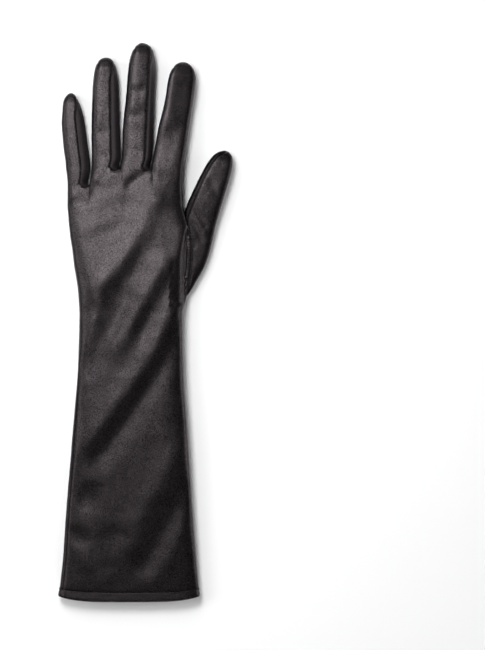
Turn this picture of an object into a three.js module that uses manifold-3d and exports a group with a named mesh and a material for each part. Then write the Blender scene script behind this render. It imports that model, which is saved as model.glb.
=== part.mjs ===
// A long dress glove of black stretch satin, for the left hand, lying on its palm.
// One wrapped piece, the trank, makes the arm, the hand and the fronts and backs of the fingers. Side
// strips, the fourchettes, close the fingers, a thumb is sewn in low at the index side, and the arm ends
// in a turned hem.
// Millimetres. +Z is up from the surface it lies on, +Y runs from the hem to the fingertips, and the little
// finger is at -X. The origin is at the bottom centre of the box around the glove.

import * as THREE from 'three';
import { mergeVertices } from 'three/addons/utils/BufferGeometryUtils.js';
import Module from 'manifold-3d';

const wasm = await Module();
wasm.setup();

// Cloth and seams
const WALL = 1.0;             // the satin
const SEAM_GAP = 0.3;         // left free between two sewn pieces
const MITRE_LIMIT = 0.4;      // keeps the corner of a seam from drawing back too far
const WELD = 1e-4;            // points nearer than this are one
const HAIR = 1e-9;            // allowed when two levels are compared
const HEM_DEPTH = 5.2;        // width of the turned hem
const HEM_PROUD = 0.4;        // how far the doubled hem stands out of the arm
const HEM_WALL = 2.0;         // two layers and the turned edge

// Levels along the glove
const HEM_Y = -187.3;         // corners of the arm opening
const HEM_BOW = 3.8;          // how far the middle of the opening reaches below its corners
const BOW_FADE = 14;          // over this length the rows above the hem straighten
const LITTLE_CROTCH_Y = 94.3; // crotch between the little finger and the ring finger
const CROTCH_Y = 105.9;       // crotches on both sides of the middle finger
const KNUCKLE_LENGTH = 26;    // over this length the palm turns into fingers
const CROTCH_STEP = [-0.75, 0.5]; // shares of the ring finger between which the crotch changes level

// Section shapes
const CROWN = 2.6;            // exponent of the arm's and the palm's upper curve, 2 is an ellipse
const FINGER_CROWN = 2.3;
const FLAT_SHARE = 0.62;      // share of the half width that lies flat on the surface
const FADE = 4;               // exponent by which creases and the hem's bow fade towards the two sides
const FOLD_FADE = 6;          // the same for the folds
const STRIP_BULGE = 1.3;      // exponent of the side strip's fall from its seam, 1 is a straight line
const WEB_TOP = 10;           // upper edge of the web at a crotch
const WEB_BOTTOM = 2.6;       // lower edge of the web
const WEB_DIP = 2.4;          // depth of the rounded end of the slit between two fingers
const DIP_FADE = 5;

// Seams on the fingers, as shares of a finger's half width from its middle
const INNER_SEAM = -0.84;     // the seam that hides beside the next finger
const LOWER_SEAM = 0.8;       // both seams on the palm side
const TIP_SEAM = 0.93;        // a seam moves out to here as it nears the fingertip
const SEAM_TURN = 13;         // over this length
const SEAM_END = 3.6;         // distance from the fingertip to the end of the side strip

// The arm and the palm, from the hem to the crotches: both outlines, height of the back and of the two sides
const BODY_COLUMNS = ['y', 'left', 'right', 'top', 'sideLeft', 'sideRight'];
const BODY = [
  [-191, -60.0, 36.7, 11.5, 4.6, 4.6],
  [-163, -56.7, 34.2, 14.0, 5.6, 5.6],
  [-135, -54.7, 32.1, 16.0, 6.4, 6.4],
  [-81, -50.2, 28.7, 17.5, 7.0, 7.0],
  [-26, -45.9, 25.3, 17.5, 7.0, 7.0],
  [6, -45.1, 24.9, 17.5, 7.0, 7.4],
  [13, -45.4, 26.6, 17.7, 7.0, 8.0],
  [22, -46.1, 28.6, 18.0, 7.0, 8.6],
  [36, -48.3, 31.2, 18.5, 7.0, 9.3],
  [51, -50.3, 32.1, 18.5, 7.0, 9.7],
  [60, -51.6, 30.6, 18.5, 7.0, 9.8],
  [70, -52.6, 27.4, 18.0, 7.0, 9.4],
  [80, -53.3, 25.3, 17.2, 6.8, 8.2],
  [94.3, -53.4, 24.8, 15.5, 6.2, 6.8],
  [105.9, -54.6, 25.2, 14.5, 5.9, 6.6],
];

// Each finger from below its crotch to its tip: both outlines at a level. seam is the share where its outer
// seam runs.
const FINGER_COLUMNS = ['y', 'left', 'right'];
const FINGERS = [
  {
    name: 'little', tip: [156.3, -51.2], top: 11.6, side: 5.8, seam: 0.3,
    rows: [
      [70, -52.6, -39.6], [94.3, -53.4, -40.4], [99.8, -54.1, -39.1], [105.9, -54.6, -38.3],
      [119, -56.1, -39.9], [135.3, -57.4, -42.1], [143.5, -57.0, -43.7], [147.6, -56.7, -45.0],
      [151.7, -55.9, -46.7], [154.3, -54.3, -48.2],
    ],
  },
  {
    name: 'ring', tip: [180.5, -27.3], top: 13.0, side: 6.5, seam: 0.42,
    rows: [
      [70, -39.3, -18.9], [94.3, -38.4, -19.2], [99.8, -37.4, -19.3], [105.9, -36.9, -19.4],
      [112, -36.9, -17.5], [135.3, -36.9, -18.3], [160, -36.2, -18.9], [168, -35.4, -19.5],
      [172.2, -34.7, -20.4], [176.3, -33.3, -21.5], [178.8, -31.5, -23.2],
    ],
  },
  {
    name: 'middle', tip: [190.4, -2.6], top: 13.4, side: 6.7, seam: 0.6,
    rows: [
      [70, -18.8, 2.4], [94.3, -18.2, 2.2], [105.9, -17.4, 2.1], [112, -16.5, 3.8],
      [131, -15.7, 4.8], [155.8, -13.2, 5.7], [168, -12.3, 6.3], [176.3, -11.4, 6.3],
      [180.4, -10.5, 5.8], [184.5, -9.1, 4.8], [187.4, -7.4, 3.5], [189.0, -5.6, 1.6],
    ],
  },
  {
    name: 'index', tip: [177.4, 25.3], top: 13.4, side: 6.7, seam: 1,
    rows: [
      [70, 3.1, 24.9], [94.3, 3.3, 24.8], [105.9, 3.8, 25.2], [115, 5.5, 26.7],
      [135.3, 9.4, 29.6], [147.6, 12.5, 31.4], [155.8, 14.0, 32.7], [164, 15.2, 33.7],
      [168, 16.2, 33.7], [172.2, 17.9, 32.4], [175.6, 20.6, 29.8],
    ],
  },
];

// The thumb along its own axis, from inside the palm to the tip: middle, half width, height, lower side
const THUMB_COLUMNS = ['along', 'x', 'y', 'half', 'top', 'bottom'];
const THUMB = [
  [0, 13.5, 9.0, 4.5, 8.0, 3.0],
  [8, 16.6, 15.5, 7.4, 8.5, 2.6],
  [16, 19.6, 23.5, 10.4, 8.9, 2.2],
  [26, 23.6, 34.5, 12.6, 9.3, 1.8],
  [36, 27.8, 44.5, 13.6, 9.6, 1.2],
  [48, 32.2, 56.5, 12.9, 10.0, 0.6],
  [60, 36.4, 69.5, 11.6, 11.0, 0.1],
  [74, 41.1, 82.6, 10.8, 12.4, 0],
  [86, 45.1, 93.0, 10.0, 12.8, 0],
  [96, 48.8, 102.0, 9.1, 12.4, 0],
  [104, 52.0, 109.2, 7.6, 11.8, 0],
  [109, 54.3, 113.8, 5.1, 11.4, 0],
];
const THUMB_TIP = [112, 55.5, 116.6];
const THUMB_SIDE = 0.5;       // height of the thumb's widest line, as a share of its thickness
const THUMB_BELLY = 0.75;     // exponent of its lower curve, flatter than its round back

// Rounded ends of fingers and thumb, seen from the side
const TIP_ROUND = 8;

// Soft folds and valleys of the back: both ends, how far the line bows to its right, half width and height
const FOLD_COLUMNS = ['x0', 'y0', 'x1', 'y1', 'bow', 'width', 'height'];
const FOLDS = [
  [7.5, 82, -35, 22, 6, 7.0, 1.7],      // across the back of the hand
  [6, 72, -30, 8, 4, 6.0, -1.2],
  [13, 38, -20, -17, 1, 6.0, 1.6],      // from the thumb's root to the wrist
  [14, 28, -3, -6, 0, 5.5, -1.2],
  [-13, 17, -40, -33, 1, 5.5, -1.4],
  [-30, 12, -44, -17, 0, 5.0, 1.2],     // beside it at the wrist
  [23, 8, -47, -86, 4.3, 7.5, 2.0],     // the long fold down the forearm
  [22, -6, -31, -92, 3, 6.5, -1.8],
  [23, -92, -10, -150, -3, 7.5, 1.5],   // towards the hem
  [25, -119, 0, -166, 1, 6.5, -1.4],
  [28, -137, 3, -176, 0, 6.5, 1.0],
  [-50, -154, -30, -176, 0, 6.0, 0.7],
  [-45, 75, -14, 80, 0, 6.0, -0.8],     // under the knuckles
  [-38, 55, -16, 66, 0, 5.0, -0.7],
  [-40, -119, -41, -121, 0, 6.5, -2.6], // dents beside the side seam
  [-47, -146, -46, -148, 0, 4.5, -1.7],
  [-24, -147, -16, -147, 0, 6.0, -1.1],
];
// Short creases across the fingers, one row for each: finger, level, half width, depth
const CREASE_COLUMNS = ['finger', 'y', 'width', 'depth'];
const CREASES = [
  [2, 160.5, 2.6, 1.3],
  [2, 144.2, 2.8, 1.2],
  [1, 131.0, 3.5, 0.6],
  [3, 139.0, 4.0, 0.5],
  [0, 132.0, 4.0, 0.4],
];

// How finely the skin is divided
const LANE_STEPS = [4, 3, 4, 3, 4, 3, 5];   // little, web, ring, web, middle, web, index
const ARM_ROWS = 21;          // from the hem's stitching to the knuckles
const KNUCKLE_ROWS = 4;
const WEB_ROWS = 2;           // between the two levels of crotches
const FINGER_ROWS = 7;
const TIP_STEPS = [14, 8.5, SEAM_END, 1.6, 0.5];  // last rows, as distances from the fingertip
const SIDE_STEPS = 2;         // from a seam out to a finger's widest line
const THUMB_SIDES = 18;
const THUMB_ROWS = 13;
const THUMB_TIP_STEPS = [5.5, 3.4, 1.6, 0.5];

const clamp = (v, low, high) => Math.min(Math.max(v, low), high);
const lerp = (a, b, t) => a + (b - a) * t;
const smooth = (t) => { const s = clamp(t, 0, 1); return s * s * (3 - 2 * s); };

// A smooth curve through (x, y) points that never overshoots them.
function smoothCurve(xs, ys) {
  const last = xs.length - 1;
  const rise = xs.slice(1).map((x, i) => (ys[i + 1] - ys[i]) / (x - xs[i]));
  const slope = xs.map((_, i) => {
    if (i === 0 || i === last) return rise[Math.min(i, last - 1)];
    const [a, b] = [rise[i - 1], rise[i]];
    return a * b <= 0 ? 0 : 2 * a * b / (a + b);
  });
  return (x) => {
    const i = clamp(xs.findIndex((k) => k > x) - 1, 0, last - 1);
    const at = x >= xs[last] ? last - 1 : i;
    const h = xs[at + 1] - xs[at];
    const t = clamp((x - xs[at]) / h, 0, 1);
    const [t2, t3] = [t * t, t * t * t];
    return (2 * t3 - 3 * t2 + 1) * ys[at] + (t3 - 2 * t2 + t) * h * slope[at]
      + (3 * t2 - 2 * t3) * ys[at + 1] + (t3 - t2) * h * slope[at + 1];
  };
}

// One smooth curve for each named column of a table, over its first column.
function curves(names, rows) {
  const at = rows.map((row) => row[0]);
  const curve = (i) => smoothCurve(at, rows.map((row) => row[i + 1]));
  return Object.fromEntries(names.slice(1).map((name, i) => [name, curve(i)]));
}

const named = (names, row) => Object.fromEntries(names.map((name, i) => [name, row[i]]));

// Sections across the glove at a level. A finger's section also has the share where its outer seam runs.
const body = curves(BODY_COLUMNS, BODY);

function bodyAt(y) {
  const [left, right] = [body.left(y), body.right(y)];
  return {
    mid: (left + right) / 2, half: (right - left) / 2, top: body.top(y), bottom: 0,
    sideLeft: body.sideLeft(y), sideRight: body.sideRight(y), crown: CROWN, seam: 1,
  };
}

// A finger's half width is curved as a square, so that it closes round at the tip.
const fingers = FINGERS.map((finger) => {
  const [tipY, tipX] = finger.tip;
  const rows = finger.rows.map((row) => named(FINGER_COLUMNS, row));
  const mid = rows.map(({ left, right }) => (left + right) / 2);
  const square = rows.map(({ left, right }) => ((right - left) / 2) ** 2);
  const levels = [...rows.map(({ y }) => y), tipY];
  return {
    ...finger, tipY, tipX,
    midAt: smoothCurve(levels, [...mid, tipX]),
    squareAt: smoothCurve(levels, [...square, 0]),
  };
});

const roundEnd = (distance) => Math.sqrt(1 - (1 - clamp(distance / TIP_ROUND, 0, 1)) ** 2);

// Below the crotches the two outer fingers share the outline of the palm.
function fingerAt(finger, y) {
  const round = roundEnd(finger.tipY - y);
  const half = Math.sqrt(Math.max(finger.squareAt(y), 0));
  const joined = y < CROTCH_Y;
  const left = joined && finger.name === 'little' ? body.left(y) : finger.midAt(y) - half;
  const right = joined && finger.name === 'index' ? body.right(y) : finger.midAt(y) + half;
  return {
    mid: (left + right) / 2, half: (right - left) / 2,
    top: lerp(finger.side, finger.top, round), bottom: lerp(finger.side, 0, round),
    sideLeft: finger.side, sideRight: finger.side, crown: FINGER_CROWN, seam: seamShares(finger, y).topRight,
  };
}

const shareAt = (section, x) => clamp((x - section.mid) / Math.max(section.half, WELD), -1, 1);
const sideAt = (section, share) => lerp(section.sideLeft, section.sideRight, (share + 1) / 2);

// Beyond its outer seam a finger falls away more flatly than its round back.
function topOf(section, x) {
  const share = shareAt(section, x);
  const side = sideAt(section, share);
  const crown = (at) => (section.top - side) * (1 - Math.abs(at) ** section.crown) ** (1 / section.crown);
  if (share <= section.seam) return side + crown(share);
  const beyond = (share - section.seam) / (1 - section.seam);
  return side + crown(section.seam) * (1 - beyond ** STRIP_BULGE) ** (1 / STRIP_BULGE);
}

function bottomOf(section, x) {
  const share = shareAt(section, x);
  const side = sideAt(section, share);
  const turn = Math.max(0, (Math.abs(share) - FLAT_SHARE) / (1 - FLAT_SHARE));
  return section.bottom + (side - section.bottom) * (1 - Math.sqrt(1 - turn * turn));
}

// Where a finger's seams run at a level, as shares of its half width.
function seamShares(finger, y) {
  const near = smooth((finger.tipY - y - SEAM_END) / SEAM_TURN);
  return {
    topLeft: finger.name === 'little' ? -1 : -lerp(TIP_SEAM, -INNER_SEAM, near),
    topRight: finger.name === 'index' ? 1 : lerp(TIP_SEAM, finger.seam, near),
    bottomLeft: finger.name === 'little' ? -1 : -lerp(TIP_SEAM, LOWER_SEAM, near),
    bottomRight: finger.name === 'index' ? 1 : lerp(TIP_SEAM, LOWER_SEAM, near),
  };
}

// Lanes run from the hem to the crotches: a finger, a web, a finger and so on. Edge 2j+1 and edge 2j+2 are
// the two sides of web j. Above its crotch an edge follows a finger's seam, and below it keeps its share of
// the body.
const CROTCHES = [LITTLE_CROTCH_Y, CROTCH_Y, CROTCH_Y];

function seamX(edge, y, face) {
  const finger = fingers[edge >> 1];
  const section = fingerAt(finger, y);
  const shares = seamShares(finger, y);
  return section.mid + section.half * shares[face + (edge % 2 ? 'Right' : 'Left')];
}

function edgeX(edge, y, face) {
  const section = bodyAt(y);
  if (edge === 0) return section.mid - section.half;
  if (edge === 7) return section.mid + section.half;
  const crotch = CROTCHES[(edge - 1) >> 1];
  if (y >= crotch) return seamX(edge, y, face);
  const crotchSection = bodyAt(crotch);
  const share = (seamX(edge, crotch, face) - crotchSection.mid) / crotchSection.half;
  return section.mid + section.half * share;
}

// Columns crowd towards the two sides of the glove, where the skin turns down.
function laneSpacing(lane, share) {
  if (lane === 0) return 1 - Math.cos(share * Math.PI / 2);
  return lane === 6 ? Math.sin(share * Math.PI / 2) : share;
}

// How far a point is on its way from palm to fingers. The level of the crotch changes across the ring finger.
function fingerness(x, y) {
  const ring = fingerAt(fingers[1], y);
  const [from, to] = CROTCH_STEP;
  const step = clamp(((x - ring.mid) / ring.half - from) / (to - from), 0, 1);
  const crotch = lerp(LITTLE_CROTCH_Y, CROTCH_Y, step);
  return smooth((y - crotch + KNUCKLE_LENGTH) / KNUCKLE_LENGTH);
}

// Height added by the folds at a point of the back, none at the two sides.
const folds = FOLDS.map((row) => named(FOLD_COLUMNS, row));

function foldHeight(x, y) {
  const share = shareAt(bodyAt(Math.min(y, CROTCH_Y)), x);
  const sum = folds.reduce((total, fold) => {
    const along = new THREE.Vector2(fold.x1 - fold.x0, fold.y1 - fold.y0);
    const length = along.length();
    along.normalize();
    const from = new THREE.Vector2(x - fold.x0, y - fold.y0);
    const t = from.dot(along) / length;
    const beyond = Math.max(0, -t, t - 1) * length;
    const offset = from.x * -along.y + from.y * along.x - fold.bow * 4 * clamp(t * (1 - t), 0, 1);
    return total + fold.height * Math.exp(-(offset ** 2 + beyond ** 2) / fold.width ** 2);
  }, 0);
  return sum * (1 - share ** FOLD_FADE);
}

const creases = CREASES.map((row) => named(CREASE_COLUMNS, row));

function creaseDepth(index, x, y, section) {
  const share = shareAt(section, x);
  return creases.filter((crease) => crease.finger === index).reduce((total, crease) =>
    total + crease.depth * Math.exp(-(((y - crease.y) / crease.width) ** 2)), 0) * (1 - share ** FADE);
}

// A point of the skin on finger number index.
function fingerPoint(index, x, y, face) {
  const section = fingerAt(fingers[index], y);
  const z = face === 'top' ? topOf(section, x) - creaseDepth(index, x, y, section) : bottomOf(section, x);
  return new THREE.Vector3(x, y, z);
}

// A point of the skin anywhere up to the crotches. Between two fingers it keeps to the level of the web.
function bodyPoint(x, y, face) {
  const part = fingerness(x, y);
  const section = bodyAt(y);
  const sections = fingers.map((finger) => fingerAt(finger, y));
  const beside = x < sections[0].mid ? [sections[0]] : x > sections[3].mid ? [sections[3]] : null;
  const near = beside ?? sections;
  if (face === 'top') {
    const knuckles = Math.max(...near.map((s) => topOf(s, x)), beside ? 0 : WEB_TOP);
    return new THREE.Vector3(x, y, lerp(topOf(section, x), knuckles, part) + foldHeight(x, y) * (1 - part));
  }
  const hollows = Math.min(...near.map((s) => bottomOf(s, x)), beside ? Infinity : WEB_BOTTOM);
  return new THREE.Vector3(x, y, lerp(bottomOf(section, x), hollows, part));
}

// The rows curve down in the middle near the hem, and dip at the rounded end of a slit.
function bow(x, y) {
  const share = shareAt(bodyAt(y), x);
  return -HEM_BOW * (1 - share ** FADE) * (1 - smooth((y - HEM_Y) / BOW_FADE));
}

// The skin: every patch of the glove's outer face, in one welded mesh whose faces know their piece.
const skin = { points: [], faces: [], index: new Map() };

function weld(point) {
  const key = point.toArray().map((v) => Math.round(v / WELD)).join();
  if (!skin.index.has(key)) {
    skin.index.set(key, skin.points.length);
    skin.points.push(point);
  }
  return skin.index.get(key);
}

// Rows of points become quads, whose outer side is where columns cross rows by the right hand.
function patch(piece, rows) {
  rows.slice(1).forEach((upper, r) => upper.slice(1).forEach((_, c) => {
    const corners = [rows[r][c], rows[r][c + 1], upper[c + 1], upper[c]].map(weld);
    for (const face of [[0, 1, 2], [0, 2, 3]].map((f) => f.map((i) => corners[i]))) {
      if (new Set(face).size === 3) skin.faces.push({ piece, face });
    }
  }));
}

const steps = (count) => Array.from({ length: count + 1 }, (_, i) => i / count);

// One row of a lane, from its left edge to its right, at a level.
function laneRow(lane, y, face) {
  const [left, right] = [edgeX(lane, y, face), edgeX(lane + 1, y, face)];
  const web = lane % 2 ? CROTCHES[lane >> 1] : null;
  return steps(LANE_STEPS[lane]).map((share) => {
    const x = lerp(left, right, laneSpacing(lane, share));
    const dip = web ? -WEB_DIP * (1 - (2 * share - 1) ** 2) * Math.exp((y - web) / DIP_FADE) : 0;
    return bodyPoint(x, y + bow(x, y) + dip, face);
  });
}

const spread = (low, high, count) => steps(count).map((t) => lerp(low, high, t));
const HEM_TOP_Y = HEM_Y + HEM_DEPTH;
const KNUCKLE_Y = LITTLE_CROTCH_Y - KNUCKLE_LENGTH;
const bodyRows = [
  ...spread(HEM_TOP_Y, KNUCKLE_Y, ARM_ROWS).slice(0, -1),
  ...spread(KNUCKLE_Y, LITTLE_CROTCH_Y, KNUCKLE_ROWS).slice(0, -1),
  ...spread(LITTLE_CROTCH_Y, CROTCH_Y, WEB_ROWS),
];
const hemRows = [HEM_Y, HEM_TOP_Y];
const FACES = ['top', 'bottom'];

// Patches below are turned on the palm side, so that they face down.
const facing = (face, rows) => (face === 'top' ? rows : rows.map((row) => [...row].reverse()));

function bodyPatches() {
  for (const face of FACES) {
    for (let lane = 0; lane < LANE_STEPS.length; lane++) {
      const top = lane === 1 ? LITTLE_CROTCH_Y : CROTCH_Y;
      const rows = bodyRows.filter((y) => y <= top + HAIR);
      patch('hem', facing(face, hemRows.map((y) => laneRow(lane, y, face))));
      patch('trank', facing(face, rows.map((y) => laneRow(lane, y, face))));
    }
  }
}

const fingerRows = (finger) => [
  ...spread(CROTCH_Y, finger.tipY - TIP_STEPS[0], FINGER_ROWS),
  ...TIP_STEPS.slice(1).map((d) => finger.tipY - d),
  finger.tipY,
];

// The back and the front of a finger, between its seams.
function fingerPatches() {
  fingers.forEach((finger, index) => {
    const lane = 2 * index;
    for (const face of FACES) {
      patch('trank', facing(face, fingerRows(finger).map((y) => {
        const section = fingerAt(finger, y);
        const shares = seamShares(finger, y);
        const left = section.mid + section.half * shares[face + 'Left'];
        const right = section.mid + section.half * shares[face + 'Right'];
        return steps(LANE_STEPS[lane]).map((share) =>
          fingerPoint(index, lerp(left, right, laneSpacing(lane, share)), y, face));
      })));
    }
  });
}

// One row of a finger's side, from the seam on the back, out and round to the seam on the palm side.
function sideRow(index, right, y) {
  const section = fingerAt(fingers[index], y);
  const shares = seamShares(fingers[index], y);
  const [name, outer] = right ? ['Right', 1] : ['Left', -1];
  const run = (face) => steps(SIDE_STEPS).map((t) =>
    fingerPoint(index, section.mid + section.half
      * lerp(shares[face + name], outer, Math.sin(t * Math.PI / 2)), y, face));
  return [...run('top'), ...run('bottom').reverse().slice(1)];
}

// The surface between four curves. left and right run along the rows, above and below along the columns.
function coons(above, below, left, right) {
  const rows = left.length - 1;
  const columns = above.length - 1;
  return left.map((_, i) => above.map((__, j) => {
    const [v, u] = [i / rows, j / columns];
    const point = above[j].clone().multiplyScalar(1 - v).addScaledVector(below[j], v);
    point.addScaledVector(left[i], 1 - u).addScaledVector(right[i], u);
    point.addScaledVector(above[0], -(1 - u) * (1 - v)).addScaledVector(above[columns], -u * (1 - v));
    return point.addScaledVector(below[0], -(1 - u) * v).addScaledVector(below[columns], -u * v);
  }));
}

// A side strip: down one finger, round the crotch, and up the next.
function fourchettePatches() {
  CROTCHES.forEach((crotch, web) => {
    const piece = `fourchette_${fingers[web].name}_${fingers[web + 1].name}`;
    const between = bodyRows.filter((y) => y >= crotch - HAIR && y < CROTCH_Y - HAIR);
    for (const right of [true, false]) {
      const index = right ? web : web + 1;
      const rows = [...between, ...fingerRows(fingers[index])];
      const end = fingers[index].tipY - SEAM_END;
      const sides = rows.map((y) => sideRow(index, right, y));
      const turned = right ? sides : sides.map((row) => [...row].reverse());
      patch(piece, turned.filter((_, i) => rows[i] <= end + HAIR));
      patch('trank', turned.filter((_, i) => rows[i] >= end - HAIR));
    }
    const lane = 2 * web + 1;
    patch(piece, coons(laneRow(lane, crotch, 'top'), laneRow(lane, crotch, 'bottom'),
      sideRow(web, true, crotch), sideRow(web + 1, false, crotch)));
  });
}

// Unit normals of a welded mesh, one for each point, weighted by the area of its faces.
function normalsOf(points, faces) {
  const normals = points.map(() => new THREE.Vector3());
  for (const { face } of faces) {
    const normal = faceNormal(points, face);
    face.forEach((i) => normals[i].add(normal));
  }
  return normals.map((n) => n.normalize());
}

// The edges of a set of faces that only one of them has, each in its face's direction, with its face.
function openEdges(faces) {
  const edges = new Map();
  for (const { face } of faces) {
    face.forEach((a, i) => {
      const b = face[(i + 1) % 3];
      if (!edges.delete(`${b},${a}`)) edges.set(`${a},${b}`, { a, b, face });
    });
  }
  return [...edges.values()];
}

function faceNormal(points, face) {
  const [a, b, c] = face.map((i) => points[i]);
  return b.clone().sub(a).cross(c.clone().sub(a));
}

function geometryOf(points, faces) {
  return new THREE.BufferGeometry()
    .setAttribute('position', new THREE.Float32BufferAttribute(points.flatMap((p) => p.toArray()), 3))
    .setIndex(faces.flat());
}

// How far each seam point of a piece moves so that its edges lie half a gap back from the seam line.
function drawBack(open) {
  const inward = new Map();
  for (const { a, b, face } of open) {
    const run = skin.points[b].clone().sub(skin.points[a]);
    const across = faceNormal(skin.points, face).cross(run).normalize();
    for (const i of [a, b]) inward.set(i, [...(inward.get(i) ?? []), across]);
  }
  return new Map([...inward].map(([i, [one, two]]) => {
    const corner = Math.max(1 + one.dot(two), MITRE_LIMIT);
    return [i, one.clone().add(two).multiplyScalar(SEAM_GAP / 2 / corner)];
  }));
}

// Cloth of one piece: its faces of the skin, drawn in from the seams, with the inner face and the cut edges.
function cloth(piece, normals, proud, wall) {
  const faces = skin.faces.filter((f) => f.piece === piece);
  const open = openEdges(faces);
  const pull = drawBack(open);
  const used = [...new Set(faces.flatMap((f) => f.face))];
  const place = new Map(used.map((i, k) => [i, k]));
  const drawn = used.map((i) => skin.points[i].clone().add(pull.get(i) ?? new THREE.Vector3()));
  const outer = drawn.map((p, k) => p.clone().addScaledVector(normals[used[k]], proud));
  const inner = drawn.map((p, k) => p.clone().addScaledVector(normals[used[k]], proud - wall));
  outer.forEach((p) => { p.z = Math.max(p.z, 0); });
  inner.forEach((p, k) => { p.z = Math.max(p.z, outer[k].z < wall / 2 ? wall : p.z); });
  const count = used.length;
  const triangles = faces.flatMap(({ face }) => {
    const [a, b, c] = face.map((i) => place.get(i));
    return [[a, b, c], [c + count, b + count, a + count]];
  });
  // Both pieces at a seam split their cut edges along the same diagonals, so that the gap stays even.
  const rim = open.flatMap((edge) => {
    const [a, b] = [place.get(edge.a), place.get(edge.b)];
    const [deepA, deepB] = [a + count, b + count];
    return edge.a < edge.b ? [[b, a, deepB], [a, deepA, deepB]] : [[b, a, deepA], [b, deepA, deepB]];
  });
  return geometryOf([...outer, ...inner], [...triangles, ...rim]);
}

function toManifold(geometry) {
  const bare = geometry.clone();
  bare.deleteAttribute('normal');
  bare.deleteAttribute('uv');
  const merged = mergeVertices(bare, WELD);
  return new wasm.Manifold(new wasm.Mesh({
    numProp: 3,
    vertProperties: merged.attributes.position.array,
    triVerts: new Uint32Array(merged.index.array),
  }));
}

function toGeometry(solid) {
  const mesh = solid.getMesh();
  return new THREE.BufferGeometry()
    .setAttribute('position', new THREE.BufferAttribute(mesh.vertProperties, 3))
    .setIndex(new THREE.BufferAttribute(mesh.triVerts, 1));
}

// A boolean can leave crumbs, so the largest body is kept.
function largest(solid) {
  return solid.decompose().sort((a, b) => b.volume() - a.volume())[0];
}

// The whole glove as one closed body, swollen by grow, with its arm opening capped.
function gloveBody(normals, grow) {
  const points = skin.points.map((p, i) => p.clone().addScaledVector(normals[i], grow));
  const centre = points.length;
  const mouth = openEdges(skin.faces);
  const cap = mouth.map(({ a, b }) => [b, a, centre]);
  const middle = mouth.reduce((sum, { a }) => sum.add(points[a]), new THREE.Vector3());
  middle.divideScalar(mouth.length);
  return toManifold(geometryOf([...points, middle], [...skin.faces.map((f) => f.face), ...cap]));
}

// The thumb as a closed tube, its wall drawn in by inset, and its root pushed further into the palm.
const thumb = curves(THUMB_COLUMNS, THUMB);

function thumbBody(inset) {
  const [tipAlong, tipX, tipY] = THUMB_TIP;
  const table = THUMB.map((row) => named(THUMB_COLUMNS, row));
  const levels = [...table.map((row) => row.along), tipAlong];
  const midX = smoothCurve(levels, [...table.map((row) => row.x), tipX]);
  const midY = smoothCurve(levels, [...table.map((row) => row.y), tipY]);
  const square = smoothCurve(levels, [...table.map((row) => row.half ** 2), 0]);
  const end = tipAlong - inset;
  const rows = [...spread(0, end - TIP_ROUND, THUMB_ROWS), ...THUMB_TIP_STEPS.map((d) => end - d)];
  const rings = rows.map((along) => {
    const round = roundEnd(end - along);
    const run = new THREE.Vector2(midX(along + 1) - midX(along - 1), midY(along + 1) - midY(along - 1));
    run.normalize();
    const half = Math.sqrt(square(along * tipAlong / end)) - inset;
    const [low, high] = [thumb.bottom(along) + inset, thumb.top(along) - inset];
    const side = lerp(low, high, THUMB_SIDE);
    return spread(0, 2 * Math.PI, THUMB_SIDES).slice(0, -1).map((angle) => {
      const [c, s] = [Math.cos(angle), Math.sin(angle)];
      const rise = s > 0 ? high - side : side - low;
      return new THREE.Vector3(midX(along) + run.y * c * half, midY(along) - run.x * c * half,
        side + Math.sign(s) * Math.abs(s) ** (s > 0 ? 1 : THUMB_BELLY) * rise * round);
    });
  });
  const points = rings.flat();
  const [root, tip] = [points.length, points.length + 1];
  const rootRing = rings[0].reduce((sum, p) => sum.add(p), new THREE.Vector3()).divideScalar(THUMB_SIDES);
  const side = lerp(thumb.bottom(end), thumb.top(end), THUMB_SIDE);
  points.push(rootRing, new THREE.Vector3(midX(end), midY(end), side));
  const faces = [];
  steps(THUMB_SIDES).slice(0, -1).forEach((_, i) => {
    const next = (i + 1) % THUMB_SIDES;
    for (let r = 0; r < rings.length - 1; r++) {
      const [a, b] = [r * THUMB_SIDES, (r + 1) * THUMB_SIDES];
      faces.push([a + next, a + i, b + i], [a + next, b + i, b + next]);
    }
    const last = (rings.length - 1) * THUMB_SIDES;
    faces.push([i, next, root], [last + next, last + i, tip]);
  });
  return toManifold(geometryOf(points, faces));
}

bodyPatches();
fingerPatches();
fourchettePatches();
const normals = normalsOf(skin.points, skin.faces);
const hollowThumb = thumbBody(WALL);

const satin = new THREE.MeshStandardMaterial({ color: 0x353233, roughness: 0.5, metalness: 0 });
const glove = new THREE.Group();

function add(name, geometry) {
  const mesh = new THREE.Mesh(geometry, satin.clone());
  mesh.name = name;
  glove.add(mesh);
}

add('trank', toGeometry(largest(toManifold(cloth('trank', normals, 0, WALL)).subtract(hollowThumb))));
for (const web of [0, 1, 2]) {
  const name = `fourchette_${fingers[web].name}_${fingers[web + 1].name}`;
  add(name, cloth(name, normals, 0, WALL));
}
add('thumb', toGeometry(largest(thumbBody(0).subtract(hollowThumb).subtract(gloveBody(normals, SEAM_GAP)))));
add('hem', cloth('hem', normals, HEM_PROUD, HEM_WALL));

// The origin goes to the bottom centre of the box around the glove.
const bounds = new THREE.Box3().setFromObject(glove);
const centre = bounds.getCenter(new THREE.Vector3());
glove.position.set(-centre.x, -centre.y, -bounds.min.z);

export default glove;
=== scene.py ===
import math

import bpy
import numpy as np
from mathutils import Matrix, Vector
from mathutils.bvhtree import BVHTree
from mathutils.kdtree import KDTree


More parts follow.
